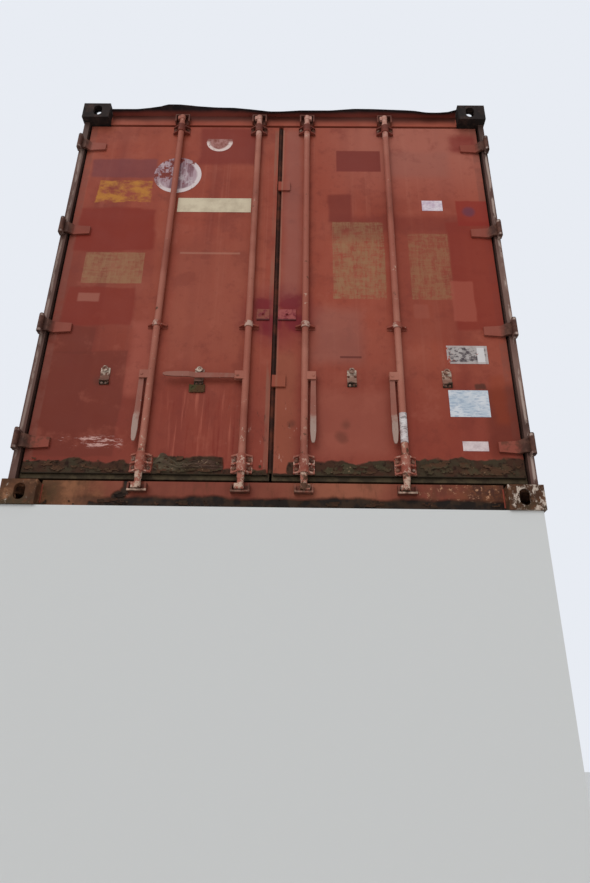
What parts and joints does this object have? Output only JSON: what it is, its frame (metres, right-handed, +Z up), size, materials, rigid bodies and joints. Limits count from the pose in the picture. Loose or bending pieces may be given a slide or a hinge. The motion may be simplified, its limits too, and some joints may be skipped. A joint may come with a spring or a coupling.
{
  "type": "shipping container",
  "caption": "Steel dry freight box with corrugated walls, hinged double doors, lock bars with handles, corner fittings and fork pockets.",
  "frame": {"origin": "on the ground plane under the centre of the box, where the bottom corner fittings stand", "axes": "+Z up, +Y along the box from the doors to the front end, +X across to the right seen from the doors"},
  "size_m": [2.438, 6.058, 2.591],
  "materials": {
    "fitting_rust": "rusted casting with worn paint",
    "fitting_dark": "dark weathered casting",
    "post_paint": "faded paint with rust",
    "frame_red": "weathered satin paint",
    "wall_red": "weathered satin paint with rust streaks",
    "roof_red": "chalky paint with rust",
    "gutter_dark": "dark grimy paint",
    "door_red": "weathered satin paint, patched",
    "gear_paint": "faded paint worn to rust",
    "pin_steel": "rusted steel",
    "seal_rubber": "matt aged rubber",
    "floor_ply": "worn plywood",
    "under_steel": "dark underseal"
  },
  "bodies": {
    "root": {"bottom_corner_fittings": "fitting_rust", "top_corner_fittings": "fitting_dark", "left_door_post": "post_paint", "right_door_post": "post_paint", "left_front_post": "post_paint", "right_front_post": "post_paint", "left_top_rail": "frame_red", "right_top_rail": "frame_red", "left_bottom_rail": "frame_red", "right_bottom_rail": "frame_red", "front_top_rail": "frame_red", "front_bottom_rail": "frame_red", "door_header": "frame_red", "header_gutter": "gutter_dark", "door_sill": "frame_red", "left_side_wall": "wall_red", "right_side_wall": "wall_red", "front_wall": "wall_red", "roof_sheet": "roof_red", "floor_boards": "floor_ply", "cross_members": "under_steel", "fork_pockets": "under_steel", "top_keepers": "gear_paint", "bottom_keepers": "gear_paint", "left_hinge_pins": "pin_steel", "right_hinge_pins": "pin_steel"},
    "left_door": {"left_door_frame": "door_red", "left_door_panel": "door_red", "left_door_gasket": "seal_rubber", "left_hinge_blades": "gear_paint", "left_bar_brackets": "gear_paint", "left_handle_retainers": "gear_paint", "left_seal_plate": "pin_steel"},
    "right_door": {"right_door_frame": "door_red", "right_door_panel": "door_red", "right_door_gasket": "seal_rubber", "right_hinge_blades": "gear_paint", "right_bar_brackets": "gear_paint", "right_handle_retainers": "gear_paint", "right_seal_plate": "pin_steel", "overlap_lugs": "door_red"},
    "bar_1": {"lock_bar_1": "gear_paint"},
    "grip_1": {"handle_1": "gear_paint"},
    "bar_2": {"lock_bar_2": "gear_paint"},
    "grip_2": {"handle_2": "gear_paint"},
    "bar_3": {"lock_bar_3": "gear_paint"},
    "grip_3": {"handle_3": "gear_paint"},
    "bar_4": {"lock_bar_4": "gear_paint"},
    "grip_4": {"handle_4": "gear_paint"}
  },
  "joints": [
    {"name": "left_door_hinge", "type": "hinge", "parent": "root", "child": "left_door", "pos_m": [-1.205, -3.015, 1.304], "axis": [0, 0, -1], "range_deg": [0, 265]},
    {"name": "right_door_hinge", "type": "hinge", "parent": "root", "child": "right_door", "pos_m": [1.205, -3.015, 1.304], "axis": [0, 0, 1], "range_deg": [0, 265]},
    {"name": "bar_1_turn", "type": "hinge", "parent": "left_door", "child": "bar_1", "pos_m": [-0.615, -2.991, 0.69], "axis": [0, 0, -1], "range_deg": [-120, 0]},
    {"name": "bar_2_turn", "type": "hinge", "parent": "left_door", "child": "bar_2", "pos_m": [-0.145, -2.991, 0.69], "axis": [0, 0, -1], "range_deg": [-120, 0]},
    {"name": "bar_3_turn", "type": "hinge", "parent": "right_door", "child": "bar_3", "pos_m": [0.145, -2.991, 0.69], "axis": [0, 0, 1], "range_deg": [-120, 0]},
    {"name": "bar_4_turn", "type": "hinge", "parent": "right_door", "child": "bar_4", "pos_m": [0.615, -2.991, 0.69], "axis": [0, 0, -1], "range_deg": [-180, 0]},
    {"name": "handle_1_swing", "type": "hinge", "parent": "bar_1", "child": "grip_1", "pos_m": [-0.657, -3, 0.69], "axis": [0, 1, 0], "range_deg": [0, 90]},
    {"name": "handle_2_swing", "type": "hinge", "parent": "bar_2", "child": "grip_2", "pos_m": [-0.187, -3, 0.69], "axis": [0, 1, 0], "range_deg": [-90, 0]},
    {"name": "handle_3_swing", "type": "hinge", "parent": "bar_3", "child": "grip_3", "pos_m": [0.187, -3, 0.69], "axis": [0, -1, 0], "range_deg": [0, 90]},
    {"name": "handle_4_swing", "type": "hinge", "parent": "bar_4", "child": "grip_4", "pos_m": [0.573, -3, 0.69], "axis": [0, -1, 0], "range_deg": [-90, 0]}
  ]
}
